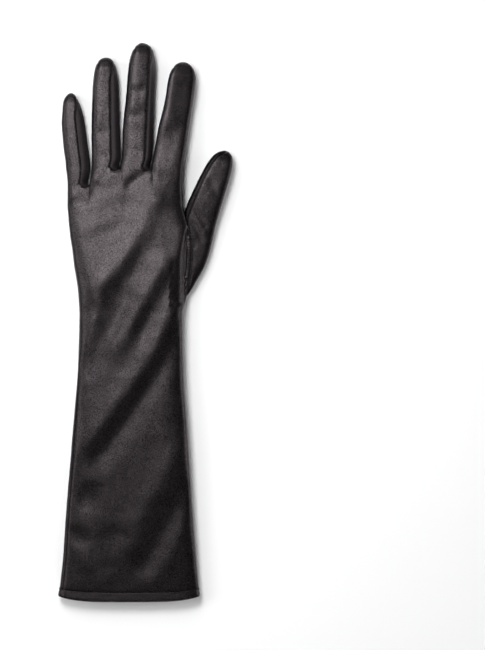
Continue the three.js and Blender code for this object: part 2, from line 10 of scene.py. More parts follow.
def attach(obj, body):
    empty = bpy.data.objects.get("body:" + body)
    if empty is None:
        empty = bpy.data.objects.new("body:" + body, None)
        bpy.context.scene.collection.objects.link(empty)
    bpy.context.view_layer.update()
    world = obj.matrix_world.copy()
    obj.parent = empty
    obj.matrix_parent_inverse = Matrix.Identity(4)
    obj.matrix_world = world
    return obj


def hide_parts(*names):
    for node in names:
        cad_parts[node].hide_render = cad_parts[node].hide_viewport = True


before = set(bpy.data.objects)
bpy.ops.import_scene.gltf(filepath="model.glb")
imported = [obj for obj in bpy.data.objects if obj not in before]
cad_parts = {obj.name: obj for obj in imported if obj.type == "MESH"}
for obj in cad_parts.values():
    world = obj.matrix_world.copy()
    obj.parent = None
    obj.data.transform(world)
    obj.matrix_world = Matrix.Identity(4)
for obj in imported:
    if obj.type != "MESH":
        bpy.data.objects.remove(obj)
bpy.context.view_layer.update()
scene = bpy.context.scene

# The table and the lamps
# The glove lies on a plain pale table. Two small soft lamps hang near its left side and make the satin's
# lustre. Four wide ones stand far off and light the table, so that the folds keep their dark sides.
FLOOR_SIZE = 6.0
FLOOR_LEVEL = -0.0003
FLOOR_COLOUR = (0.96, 0.96, 0.965, 1)
LAMPS = [
    # name, place, size, power
    ("window", (-0.15, 0.28, 0.75), 0.3, 4.0),
    ("low_window", (-0.14, -0.10, 0.8), 0.3, 0.7),
    ("side", (-1.6, 0.15, 1.25), 1.4, 17.0),
    ("back", (-0.4, 1.7, 1.35), 1.4, 13.0),
    ("front", (0.2, -2.6, 0.6), 1.4, 40.0),
    ("right", (2.7, 0.3, 0.6), 1.6, 26.0),
]
ROOM_LIGHT = 0.045

half_floor = FLOOR_SIZE / 2
floor_mesh = bpy.data.meshes.new("table")
floor_mesh.from_pydata(
    [(x, y, FLOOR_LEVEL) for x, y in ((-half_floor, -half_floor), (half_floor, -half_floor),
                                      (half_floor, half_floor), (-half_floor, half_floor))],
    [], [(0, 1, 2, 3)])
floor = bpy.data.objects.new("table", floor_mesh)
scene.collection.objects.link(floor)
paint = bpy.data.materials.new("table_paint")
paint.use_nodes = True
paint.node_tree.nodes["Principled BSDF"].inputs["Base Color"].default_value = FLOOR_COLOUR
paint.node_tree.nodes["Principled BSDF"].inputs["Roughness"].default_value = 0.9
floor_mesh.materials.append(paint)

for name, place, size, power in LAMPS:
    lamp = bpy.data.lights.new(name, "AREA")
    lamp.shape = "DISK"
    lamp.size = size
    lamp.energy = power
    stand = bpy.data.objects.new(name, lamp)
    stand.location = place
    stand.rotation_euler = (-Vector(place)).to_track_quat("-Z", "Y").to_euler()
    scene.collection.objects.link(stand)

room = bpy.data.worlds.new("room")
room.use_nodes = True
room.node_tree.nodes["Background"].inputs["Color"].default_value = (1, 1, 1, 1)
room.node_tree.nodes["Background"].inputs["Strength"].default_value = ROOM_LIGHT
scene.world = room
scene.view_settings.view_transform = "Standard"

# The camera
# It looks straight down from two metres up. The picture is taller than wide, and the glove lies in its
# left half.
PICTURE_MIDDLE = (0.0664, -0.0018)
PICTURE_HEIGHT = 0.4443
CAMERA_HEIGHT = 2.0
OUTLINE_LEVEL = 0.007
SENSOR = 36.0

camera_data = bpy.data.cameras.new("camera")
camera_data.sensor_width = SENSOR
camera_data.lens = SENSOR * CAMERA_HEIGHT / PICTURE_HEIGHT
camera_data.clip_end = 20
camera = bpy.data.objects.new("camera", camera_data)
camera.location = (*PICTURE_MIDDLE, CAMERA_HEIGHT + OUTLINE_LEVEL)
scene.collection.objects.link(camera)
scene.camera = camera

# The trank
# The glove's one large piece: stretch satin, folded along the index side and closed by a seam along the
# little finger side. It makes the arm, the hand, and the fronts and backs of the fingers. Sizes are in
# millimetres.
HEM_DEPTH = 5.2
HEM_Y = -187.3
HEM_BOW = 3.8
BOW_FADE = 14
LITTLE_CROTCH_Y = 94.3
CROTCH_Y = 105.9
KNUCKLE_LENGTH = 18
CROTCH_STEP = (-0.75, 0.5)
CROWN = 5.5               # how square the back's shoulders are: 2 is an ellipse
WEB_CROWN = 6             # the same where a finger begins
WEB_REACH = 12
WEB_FULL = 5
TOP_BLEND = 0.13          # how softly the knuckles run into each other
FLAT_SHARE = 0.62         # how much of the palm side lies flat
FADE = 4                  # the hem's bow dies away towards the two sides
FOLD_FADE = 8             # the folds keep their height until close to the two sides
FOLDS_END = 8             # and end over this length below the crotches
STRIP_BULGE = 1.2
LEAN_START = 12
LEAN_RUN = 26
WEB_BOTTOM = 2.6
WEB_DIP = 2.4
DIP_FADE = 5
INNER_SEAM = -0.975
LOWER_SEAM = 0.8
TIP_SEAM = 0.93
SEAM_TURN = 13
SEAM_END = 3.6
TIP_ROUND = 8

BODY_COLUMNS = ("y", "left", "right", "top", "side_left", "side_right")
BODY = [
    (-191, -60.0, 36.7, 12.0, 4.6, 4.6),
    (-163, -56.7, 34.2, 13.4, 5.4, 5.4),
    (-135, -54.7, 32.1, 14.8, 6.2, 6.2),
    (-81, -50.2, 28.7, 16.8, 7.0, 7.0),
    (-26, -45.9, 25.3, 17.4, 7.0, 7.0),
    (6, -45.1, 24.9, 17.5, 7.0, 7.4),
    (13, -45.4, 26.6, 17.7, 7.0, 8.0),
    (22, -46.1, 28.6, 17.6, 7.0, 8.6),
    (36, -48.3, 31.2, 17.2, 7.0, 9.3),
    (51, -50.3, 32.1, 16.5, 7.0, 9.7),
    (60, -51.6, 30.6, 16.0, 7.0, 9.8),
    (70, -52.6, 27.4, 15.4, 7.0, 9.4),
    (80, -53.3, 25.3, 14.8, 6.8, 8.2),
    (94.3, -53.4, 24.8, 14.0, 6.2, 6.8),
    (105.9, -54.6, 25.2, 13.6, 5.8, 6.7),
]

FINGERS = [
    # rows are level, left outline, right outline; the crotch is the one at the finger's left
    dict(name="little", tip=(156.3, -51.2), top=11.6, side=5.8, crown=3.8,
         seam=0.3, lean=0, crotch=70, rows=[
        (70, -52.6, -39.6), (94.3, -53.4, -40.4), (99.8, -54.1, -39.1), (105.9, -54.6, -38.3),
        (119, -56.1, -39.9), (135.3, -57.4, -42.1), (143.5, -57.0, -43.7), (147.6, -56.7, -45.0),
        (151.7, -55.9, -46.7), (154.3, -54.3, -48.2)]),
    dict(name="ring", tip=(180.5, -27.3), top=13.0, side=6.5, crown=3.8,
         seam=0.42, lean=0.06, crotch=94.3, rows=[
        (70, -39.3, -18.9), (94.3, -38.4, -19.2), (99.8, -37.4, -19.3), (105.9, -36.9, -19.4),
        (112, -36.9, -17.5), (135.3, -36.9, -18.3), (160, -36.2, -18.9), (168, -35.4, -19.5),
        (172.2, -34.7, -20.4), (176.3, -33.3, -21.5), (178.8, -31.5, -23.2)]),
    dict(name="middle", tip=(190.4, -2.6), top=13.4, side=6.7, crown=3.8,
         seam=0.6, lean=0.08, crotch=105.9, rows=[
        (70, -18.8, 2.4), (94.3, -18.2, 2.2), (105.9, -17.4, 2.1), (112, -16.5, 3.8),
        (131, -15.7, 4.8), (155.8, -13.2, 5.7), (168, -12.3, 6.3), (176.3, -11.4, 6.3),
        (180.4, -10.5, 5.8), (184.5, -9.1, 4.8), (187.4, -7.4, 3.5), (189.0, -5.6, 1.6)]),
    dict(name="index", tip=(177.4, 25.3), top=13.4, side=6.7, crown=5.5,
         seam=1, lean=0.16, crotch=105.9, rows=[
        (70, 3.1, 24.9), (94.3, 3.3, 24.8), (105.9, 3.8, 25.2), (115, 5.5, 26.7),
        (135.3, 9.4, 29.6), (147.6, 12.5, 31.4), (155.8, 14.0, 32.7), (164, 15.2, 33.7),
        (168, 16.2, 33.7), (172.2, 17.9, 32.4), (175.6, 20.6, 29.8)]),
]

# Soft folds and valleys of the back: both ends, bow to the right, half width and height. They were placed
# one by one. The solids have them at the same places, only firmer.
FOLDS = [
    (7.5, 82, -35, 22, 6, 8.5, 1.3),      # across the back of the hand
    (6, 72, -30, 8, 4, 7.0, -0.8),
    (13, 38, -20, -17, 1, 7.5, 1.1),      # from the thumb's root to the wrist
    (14, 28, -3, -6, 0, 6.5, -0.8),
    (-13, 17, -40, -33, 1, 6.5, -0.9),
    (-30, 12, -44, -17, 0, 5.5, 0.8),     # beside it at the wrist
    (23, 8, -47, -86, 4.3, 9.0, 1.6),     # the long fold down the forearm
    (22, -6, -31, -92, 3, 7.5, -1.3),
    (23, -92, -10, -150, -3, 9.0, 0.9),   # towards the hem
    (25, -119, 0, -166, 1, 8.0, -0.9),
    (28, -137, 3, -176, 0, 8.0, 0.5),
    (-50, -154, -30, -176, 0, 7.0, 0.4),
    (-45, 75, -14, 80, 0, 7.0, -0.5),     # under the knuckles
    (-38, 55, -16, 66, 0, 6.0, -0.4),
    (-40, -119, -41, -121, 0, 8.0, -1.5),    # dents beside the side seam
    (-47, -146, -46, -148, 0, 6.0, -1.0),
    (-24, -147, -16, -147, 0, 7.0, -0.6),
]
# Narrow wrinkles of the same columns, which run over the knuckles too
WRINKLES = [
    (-11.5, 93.0, 2.5, 103.5, 0.6, 3.4, -0.6),    # into the crotch beside the middle finger
    (-33.0, 83.0, -22.0, 93.0, 0, 4.0, -0.25),
    (-37.5, 91.0, -35.5, 93.5, 0, 2.8, -0.3),
    (-51.0, 84.0, -47.0, 90.0, 0, 3.6, -0.25),
    (-10.5, 162.4, -5.5, 162.0, 0, 3.6, 0.35),    # two dents across the middle finger
    (-10.5, 157.4, -5.5, 157.0, 0, 4.4, -0.45),
    (-11.5, 146.0, -6.5, 145.6, 0, 3.6, 0.35),
    (-11.5, 141.0, -7.0, 140.6, 0, 4.4, -0.45),
    (-9.0, 187.0, -7.0, 189.0, 0, 4.5, 0.4),      # its tip
    (-30.0, 129.5, -28.0, 129.0, 0, 3.2, -0.4),   # the ring finger
    (10.0, 132.0, 17.0, 136.0, 0, 5.0, 0.35),     # the index finger
    (-34.0, 99.0, 18.0, 107.0, 0, 8.0, 0.5),      # the roots of the fingers
]

LANE_COLUMNS = (18, 6, 16, 6, 16, 6, 24)  # little, web, ring, web, middle, web, index
CROTCHES = (LITTLE_CROTCH_Y, CROTCH_Y, CROTCH_Y)
HEM_TOP_Y = HEM_Y + HEM_DEPTH
KNUCKLE_Y = LITTLE_CROTCH_Y - KNUCKLE_LENGTH
ARM_ROWS = 152
KNUCKLE_ROWS = 23
CROTCH_ROWS = 11
BODY_LEVELS = np.concatenate([
    HEM_TOP_Y + np.array([0, 0.3, 0.7, 1.3]),
    np.linspace(HEM_TOP_Y + 2.4, KNUCKLE_Y, ARM_ROWS),
    np.linspace(KNUCKLE_Y, LITTLE_CROTCH_Y, KNUCKLE_ROWS)[1:],
    np.linspace(LITTLE_CROTCH_Y, CROTCH_Y, CROTCH_ROWS)[1:],
])
FINGER_STEP = 1.25
STRIP_TIP = 14            # the finer rows near a fingertip begin here
NEAR_TIP_ROWS = 10
TIP_ROWS = 9
SIDE_COLUMNS = 9


def mix(a, b, t):
    return a + (b - a) * t


def ease(t):
    s = np.clip(t, 0, 1)
    return s * s * (3 - 2 * s)


def smooth_curve(xs, ys):
    """A smooth curve through points that never overshoots them."""
    xs, ys = np.array(xs, float), np.array(ys, float)
    rise = np.diff(ys) / np.diff(xs)
    slope = np.concatenate([rise[:1], np.zeros(len(xs) - 2), rise[-1:]])
    before, after = rise[:-1], rise[1:]
    same = before * after > 0
    slope[1:-1][same] = (2 * before * after)[same] / (before + after)[same]

    def at(x):
        i = np.clip(np.searchsorted(xs, x, side="right") - 1, 0, len(xs) - 2)
        step = xs[i + 1] - xs[i]
        t = np.clip((x - xs[i]) / step, 0, 1)
        return ((2 * t**3 - 3 * t**2 + 1) * ys[i] + (t**3 - 2 * t**2 + t) * step * slope[i]
                + (3 * t**2 - 2 * t**3) * ys[i + 1] + (t**3 - t**2) * step * slope[i + 1])
    return at


body = {name: smooth_curve([row[0] for row in BODY], [row[i + 1] for row in BODY])
        for i, name in enumerate(BODY_COLUMNS[1:])}


def body_at(y):
    left, right = body["left"](y), body["right"](y)
    return dict(mid=(left + right) / 2, half=(right - left) / 2, top=body["top"](y), bottom=0,
                side_left=body["side_left"](y), side_right=body["side_right"](y),
                crown=CROWN, seam=1, lean=0)


for finger in FINGERS:
    levels = [row[0] for row in finger["rows"]] + [finger["tip"][0]]
    middles = [(left + right) / 2 for _, left, right in finger["rows"]] + [finger["tip"][1]]
    squares = [((right - left) / 2) ** 2 for _, left, right in finger["rows"]] + [0]
    finger["mid_at"] = smooth_curve(levels, middles)
    finger["square_at"] = smooth_curve(levels, squares)


def round_end(distance):
    return np.sqrt(1 - (1 - np.clip(distance / TIP_ROUND, 0, 1)) ** 2)


def seam_shares(finger, y):
    """Where a finger's seams run at a level, as shares of its half width."""
    near = ease((finger["tip"][0] - y - SEAM_END) / SEAM_TURN)
    little, index = finger["name"] == "little", finger["name"] == "index"
    return dict(
        top_left=-np.ones_like(near) if little else -mix(TIP_SEAM, -INNER_SEAM, near),
        top_right=np.ones_like(near) if index else mix(TIP_SEAM, finger["seam"], near),
        bottom_left=-np.ones_like(near) if little else -mix(TIP_SEAM, LOWER_SEAM, near),
        bottom_right=np.ones_like(near) if index else mix(TIP_SEAM, LOWER_SEAM, near))


def finger_at(finger, y):
    """A finger's section. Below the crotches the two outer fingers share the outline of the palm."""
    end = round_end(finger["tip"][0] - y)
    half = np.sqrt(np.maximum(finger["square_at"](y), 0))
    left = finger["mid_at"](y) - half
    right = finger["mid_at"](y) + half
    if finger["name"] == "little":
        left = np.where(y < CROTCH_Y, body["left"](y), left)
    if finger["name"] == "index":
        right = np.where(y < CROTCH_Y, body["right"](y), right)
    side = finger["side"]
    beside_web = 1 - ease((y - finger["crotch"]) / WEB_REACH)
    return dict(mid=(left + right) / 2, half=(right - left) / 2, top=mix(side, finger["top"], end),
                bottom=mix(side, 0, end), side_left=side, side_right=side,
                crown=mix(finger["crown"], WEB_CROWN, beside_web), seam=seam_shares(finger, y)["top_right"],
                lean=finger["lean"] * ease((y - CROTCH_Y - LEAN_START) / LEAN_RUN))


def share_at(section, x):
    return np.clip((x - section["mid"]) / np.maximum(section["half"], 1e-4), -1, 1)


def side_at(section, share):
    return mix(section["side_left"], section["side_right"], (share + 1) / 2)


def superellipse(share, power):
    return np.maximum(1 - np.abs(share) ** power, 0) ** (1 / power)


def top_of(section, x):
    """Height of the upper face. Beyond its outer seam a finger falls away more flatly."""
    share = share_at(section, x)
    side = side_at(section, share)
    seam = section["seam"]
    rise = (section["top"] - side) * superellipse(share, section["crown"]) * (1 - section["lean"] * share)
    at_seam = (section["top"] - side) * superellipse(seam, section["crown"]) * (1 - section["lean"] * seam)
    beyond = np.clip((share - seam) / np.maximum(1 - seam, 1e-6), 0, 1)
    return side + np.where(share <= seam, rise, at_seam * superellipse(beyond, STRIP_BULGE))


def bottom_of(section, x):
    share = share_at(section, x)
    side = side_at(section, share)
    turn = np.clip((np.abs(share) - FLAT_SHARE) / (1 - FLAT_SHARE), 0, 1)
    return section["bottom"] + (side - section["bottom"]) * (1 - np.sqrt(1 - turn * turn))


def seam_x(edge, y, face):
    finger = FINGERS[edge >> 1]
    section = finger_at(finger, y)
    name = face + ("_right" if edge % 2 else "_left")
    return section["mid"] + section["half"] * seam_shares(finger, y)[name]


def edge_x(edge, y, face):
    """An edge between two lanes: a finger's seam above its crotch, below it a fixed share of the body."""
    section = body_at(y)
    if edge in (0, 7):
        return section["mid"] + section["half"] * (-1 if edge == 0 else 1)
    crotch = CROTCHES[(edge - 1) >> 1]
    at_crotch = body_at(crotch)
    share = (seam_x(edge, crotch, face) - at_crotch["mid"]) / at_crotch["half"]
    return np.where(y >= crotch, seam_x(edge, y, face), section["mid"] + section["half"] * share)


CROWDING = 0.11


def crowd(t):
    """Spacing that is finer at both ends."""
    return t - CROWDING * np.sin(2 * np.pi * t)


def lane_spacing(lane, t):
    if lane in (0, 6):
        return (1 - np.cos(np.pi * t)) / 2
    return t if lane % 2 else crowd(t)


def fingerness(x, y, length=KNUCKLE_LENGTH):
    """How far a point is on its way from palm to fingers."""
    ring = finger_at(FINGERS[1], y)
    start, end = CROTCH_STEP
    step = np.clip(((x - ring["mid"]) / ring["half"] - start) / (end - start), 0, 1)
    crotch = mix(LITTLE_CROTCH_Y, CROTCH_Y, step)
    return ease((y - crotch + length) / length)


def fold_sum(rows, x, y):
    """Height of a set of folds at a point."""
    total = 0
    for x0, y0, x1, y1, bow_out, width, height in rows:
        length = math.hypot(x1 - x0, y1 - y0)
        along = ((x1 - x0) / length, (y1 - y0) / length)
        t = ((x - x0) * along[0] + (y - y0) * along[1]) / length
        beyond = np.maximum(np.maximum(0, -t), t - 1) * length
        offset = (y - y0) * along[0] - (x - x0) * along[1] - bow_out * 4 * np.clip(t * (1 - t), 0, 1)
        total = total + height * np.exp(-(offset**2 + beyond**2) / width**2)
    return total


# The back of the hand ends in a rounded edge over the narrow strip beside the thumb's seam: level and x
# of the edge, and how far the strip lies below the plain section there
STRIP_EDGE = [(8, 26.9), (13.3, 26.1), (28.7, 26.2), (45, 26.7), (57.7, 27.6), (66, 28.8)]
STRIP_RISE = 1.5
EDGE_WIDTH = 8.5
EDGE_HEIGHT = 6.2
EDGE_SLOPE = 9
EDGE_GROOVE = 0.9
EDGE_GROOVE_WIDTH = 0.55
EDGE_FADE = 7
strip_edge = smooth_curve(*zip(*STRIP_EDGE))


def strip_fold(x, y, z):
    level = body["side_right"](y)
    width = np.maximum(body["right"](y) - strip_edge(y), 0.5)
    from_edge = x - strip_edge(y)
    over = np.clip(from_edge / width, 0, 1)
    strip = level + STRIP_RISE * superellipse(over, 4)
    rise = np.clip(-from_edge / EDGE_WIDTH, 0, 1)
    edge = level + STRIP_RISE + EDGE_HEIGHT * np.sqrt(1 - (1 - rise) ** 2)
    edge = np.where(rise < 1, np.minimum(edge, z + EDGE_SLOPE * rise**2), z)
    groove = EDGE_GROOVE * np.exp(-(from_edge / EDGE_GROOVE_WIDTH) ** 2)
    folded = np.minimum(np.where(from_edge > 0, strip, edge), np.maximum(z, strip)) - groove
    first, last = STRIP_EDGE[0][0], STRIP_EDGE[-1][0]
    window = ease((y - first) / EDGE_FADE) * ease((last - y) / EDGE_FADE)
    return mix(z, folded, window * (x > strip_edge(y) - EDGE_WIDTH))


def web_top(web, x, y):
    """The cloth between two fingers runs level from seam to seam, and is fuller below the crotch."""
    seams = [seam_x(2 * web + side, y, "top") for side in (1, 2)]
    levels = [top_of(finger_at(FINGERS[web + i], y), seams[i]) for i in (0, 1)]
    t = (x - seams[0]) / (seams[1] - seams[0])
    beyond = np.maximum(np.maximum(-t, t - 1), 0) * (seams[1] - seams[0])
    fuller = ease((CROTCHES[web] - y) / WEB_FULL)
    level = mix(mix(levels[0], levels[1], np.clip(t, 0, 1)), np.maximum(*levels), fuller)
    return level - beyond * mix(1, 0.25, fuller)


def body_point(x, y, face):
    """A point of the skin up to the crotches."""
    part = fingerness(x, y)
    section = body_at(y)
    sections = [finger_at(finger, y) for finger in FINGERS]
    height = top_of if face == "top" else bottom_of
    near = [height(one, x) for one in sections]
    if face == "top":
        webs = [web_top(web, x, y) for web in range(3)]
        middle = TOP_BLEND * np.log(sum(np.exp(one / TOP_BLEND) for one in near + webs))
    else:
        middle = np.minimum(np.minimum.reduce(near), WEB_BOTTOM)
    knuckles = np.where(x < sections[0]["mid"], near[0], np.where(x > sections[3]["mid"], near[3], middle))
    z = mix(height(section, x), knuckles, part)
    if face == "top":
        share = share_at(body_at(np.minimum(y, CROTCH_Y)), x)
        soft = (1 - np.abs(share) ** FOLD_FADE)
        z = z + fold_sum(FOLDS, x, y) * soft * (1 - fingerness(x, y, FOLDS_END)) + fold_sum(WRINKLES, x, y)
        z = strip_fold(x, y, z)
    return np.stack(np.broadcast_arrays(x, y, z), axis=-1)


def finger_point(index, x, y, face):
    section = finger_at(FINGERS[index], y)
    if face == "bottom":
        return np.stack(np.broadcast_arrays(x, y, bottom_of(section, x)), axis=-1)
    z = top_of(section, x) + fold_sum(WRINKLES, x, y)
    return np.stack(np.broadcast_arrays(x, y, z), axis=-1)


def lane_grid(lane, levels, face):
    """Rows of a lane's points, each from its left edge to its right."""
    y = np.asarray(levels, float)[:, None]
    left, right = edge_x(lane, y, face), edge_x(lane + 1, y, face)
    t = np.linspace(0, 1, LANE_COLUMNS[lane] + 1)[None, :]
    x = mix(left, right, lane_spacing(lane, t))
    dip = 0
    if lane % 2:
        dip = -WEB_DIP * (1 - (2 * t - 1) ** 2) * np.exp((y - CROTCHES[lane >> 1]) / DIP_FADE)
    share = share_at(body_at(y), x)
    bow = -HEM_BOW * (1 - share**FADE) * (1 - ease((y - HEM_Y) / BOW_FADE))
    return body_point(x, y + bow + dip, face)


def finger_levels(finger):
    tip = finger["tip"][0]
    count = round((tip - STRIP_TIP - CROTCH_Y) / FINGER_STEP)
    return np.concatenate([
        np.linspace(CROTCH_Y, tip - STRIP_TIP, count),
        np.linspace(tip - STRIP_TIP, tip - SEAM_END, NEAR_TIP_ROWS)[1:],
        tip - SEAM_END * (1 - np.sin(np.linspace(0, np.pi / 2, TIP_ROWS)[1:])),
    ])


def side_grid(index, right, levels):
    """Rows of a finger's side, each from the seam on the back round to the seam on the palm side."""
    y = np.asarray(levels, float)[:, None]
    section = finger_at(FINGERS[index], y)
    shares = seam_shares(FINGERS[index], y)
    name, outer = ("_right", 1) if right else ("_left", -1)
    turn = np.sin(crowd(np.linspace(0, 1, SIDE_COLUMNS + 1))[None, :] * np.pi / 2)
    halves = [finger_point(index, section["mid"] + section["half"] * mix(shares[face + name], outer, turn),
                           y, face) for face in ("top", "bottom")]
    rows = np.concatenate([halves[0], halves[1][:, ::-1][:, 1:]], axis=1)
    return rows if right else rows[:, ::-1]


WELD_STEPS = 2000         # points that agree to this part of a millimetre meet


def weld(grids):
    """One mesh from grids of points. Points that meet become one, and faces with no area are left out."""
    points, faces, count = [], [], 0
    for grid in grids:
        rows, columns = grid.shape[:2]
        index = np.arange(rows * columns).reshape(rows, columns) + count
        a, b, c, d = index[:-1, :-1], index[:-1, 1:], index[1:, 1:], index[1:, :-1]
        faces += [np.stack([a, b, c], -1).reshape(-1, 3), np.stack([a, c, d], -1).reshape(-1, 3)]
        points.append(grid.reshape(-1, 3))
        count += rows * columns
    points, faces = np.concatenate(points), np.concatenate(faces)
    _, first, same = np.unique(np.round(points * WELD_STEPS).astype(np.int64), axis=0,
                               return_index=True, return_inverse=True)
    faces = same.reshape(-1)[faces]
    whole = ((faces[:, 0] != faces[:, 1]) & (faces[:, 1] != faces[:, 2]) & (faces[:, 2] != faces[:, 0]))
    return points[first], faces[whole]


def keep_used(points, faces):
    used, faces = np.unique(faces, return_inverse=True)
    return used, points[used], faces.reshape(-1, 3)


def normals_of(points, faces):
    a, b, c = (points[faces[:, k]] for k in range(3))
    across = np.cross(b - a, c - a)
    total = np.zeros_like(points)
    for k in range(3):
        np.add.at(total, faces[:, k], across)
    return total / np.maximum(np.linalg.norm(total, axis=1, keepdims=True), 1e-12)


def open_edges(faces):
    """Edges that only one face has, in that face's direction."""
    edges = np.concatenate([faces[:, [0, 1]], faces[:, [1, 2]], faces[:, [2, 0]]])
    size = faces.max() + 1
    there = edges[:, 0] * size + edges[:, 1]
    back = edges[:, 1] * size + edges[:, 0]
    return edges[~np.isin(there, back)]


def from_seam(points, faces):
    """Distance of every point from the piece's nearest seam."""
    edges = open_edges(faces)
    spots = np.concatenate([mix(points[edges[:, 0]], points[edges[:, 1]], t) for t in (0, 0.25, 0.5, 0.75)])
    tree = KDTree(len(spots))
    for i, spot in enumerate(spots):
        tree.insert(spot, i)
    tree.balance()
    return np.array([tree.find(point)[2] for point in points])


WAVES = 9
WAVE_SPREAD = (0.7, 1.4)


def rumple(points, wave, seed):
    """Soft unevenness of limp cloth, from crossing waves of about one length, between -1 and 1."""
    draw = np.random.default_rng(seed)
    total = np.zeros(len(points))
    for _ in range(WAVES):
        direction = draw.normal(size=3)
        direction *= 2 * np.pi / wave / np.linalg.norm(direction) * draw.uniform(*WAVE_SPREAD)
        total += np.sin(points @ direction + draw.uniform(0, 2 * np.pi))
    return total / WAVES


SHORT_SHARE = 0.6


def two_rumples(points, wave, short_wave, seed):
    """The same with shorter, lower waves on top."""
    return rumple(points, wave, seed) + SHORT_SHARE * rumple(points, short_wave, seed + 1)


SEAM_ROLL = 0.38          # how deep a sewn edge turns in
SEAM_SOFT = 0.7           # and over what width
SHIFT = (0.442, 0.294, 0)  # from the sizes' own origin to the glove's
THICK = 0.7
PROUD = 0.25              # the cloth's own softness outside the sizes


def turn_in(points, faces, apart, deep=SEAM_ROLL):
    """Sewn edges turn in, so that a seam is a narrow valley."""
    return points + normals_of(points, faces) * (PROUD - deep * np.exp(-(apart / SEAM_SOFT) ** 2))[:, None]


def cloth_piece(name, points, faces, marks, material, *nodes, thick=THICK):
    """A closed body of cloth from its outer face, with its marks for the material. It takes the CAD
    nodes' place."""
    normals = normals_of(points, faces)
    count = len(points)
    inner = points - normals * thick
    outer = points.copy()
    outer[:, 2] = np.maximum(outer[:, 2], 0)
    inner[:, 2] = np.maximum(inner[:, 2], np.where(outer[:, 2] < thick / 2, thick, 0))
    edges = open_edges(faces)
    a, b = edges[:, 0], edges[:, 1]
    everything = np.concatenate([faces, faces[:, ::-1] + count,
                                 np.stack([b, a, a + count], -1), np.stack([b, a + count, b + count], -1)])
    both = (np.concatenate([outer, inner]) + SHIFT) / 1000
    mesh = bpy.data.meshes.new(name)
    mesh.from_pydata(both.tolist(), [], everything.tolist())
    mesh.shade_smooth()
    for mark, values in marks.items():
        layer = mesh.attributes.new(mark, "FLOAT", "POINT")
        layer.data.foreach_set("value", np.tile(np.asarray(values, np.float32), 2))
    mesh.materials.append(material)
    piece = bpy.data.objects.new(name, mesh)
    scene.collection.objects.link(piece)
    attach(piece, "root")
    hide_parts(*nodes)
    return piece


class Flow:
    """A value on its way through a material's nodes. Arithmetic on it adds Math nodes."""

    def __init__(self, tree, socket=None):
        self.tree = tree
        self.socket = socket

    def node(self, kind, settings=None, values=None, output=0):
        made = self.tree.nodes.new(kind)
        for name, setting in (settings or {}).items():
            setattr(made, name, setting)
        for name, value in (values or {}).items():
            if isinstance(value, Flow):
                self.tree.links.new(value.socket, made.inputs[name])
            else:
                made.inputs[name].default_value = value
        return Flow(self.tree, made.outputs[output])

    def maths(self, operation, *values):
        return self.node("ShaderNodeMath", {"operation": operation}, dict(enumerate(values)))

    def __add__(self, other):
        return self.maths("ADD", self, other)

    def __sub__(self, other):
        return self.maths("SUBTRACT", self, other)

    def __rsub__(self, other):
        return self.maths("SUBTRACT", other, self)

    def __mul__(self, other):
        return self.maths("MULTIPLY", self, other)

    def __truediv__(self, other):
        return self.maths("DIVIDE", self, other)

    __radd__ = __add__
    __rmul__ = __mul__

    def clip(self, low, high):
        return self.maths("MINIMUM", self.maths("MAXIMUM", self, low), high)

    def hill(self, width):
        """1 where the value is 0, falling to nothing at about twice the width."""
        away = self / width
        return self.maths("EXPONENT", away * away * -1)

    def blend(self, low, high):
        """From one colour to another as the value goes from 0 to 1."""
        return self.node("ShaderNodeMix", {"data_type": "RGBA"}, {0: self, 6: low, 7: high}, output=2)


MM = 0.001
# The dye where the cloth shines least and where it shines most
SATIN_DARK = (0.0018, 0.0015, 0.0016)
SATIN_LIGHT = (0.0056, 0.0048, 0.0052)
SHINE_TINT = (1, 0.88, 0.93, 1)
THREAD_NOISE = 2600
THREAD_STRETCH = (1.25, 0.5, 1)
CLOUD_NOISE = 70
DRIFT_NOISE = 260
PUCKER_PITCH = 1.9
PUCKER_REACH = 1.3
SEAM_LINE = 0.42          # half width of a seam's dark line, and how dark it is
SEAM_DARKNESS = 0.8


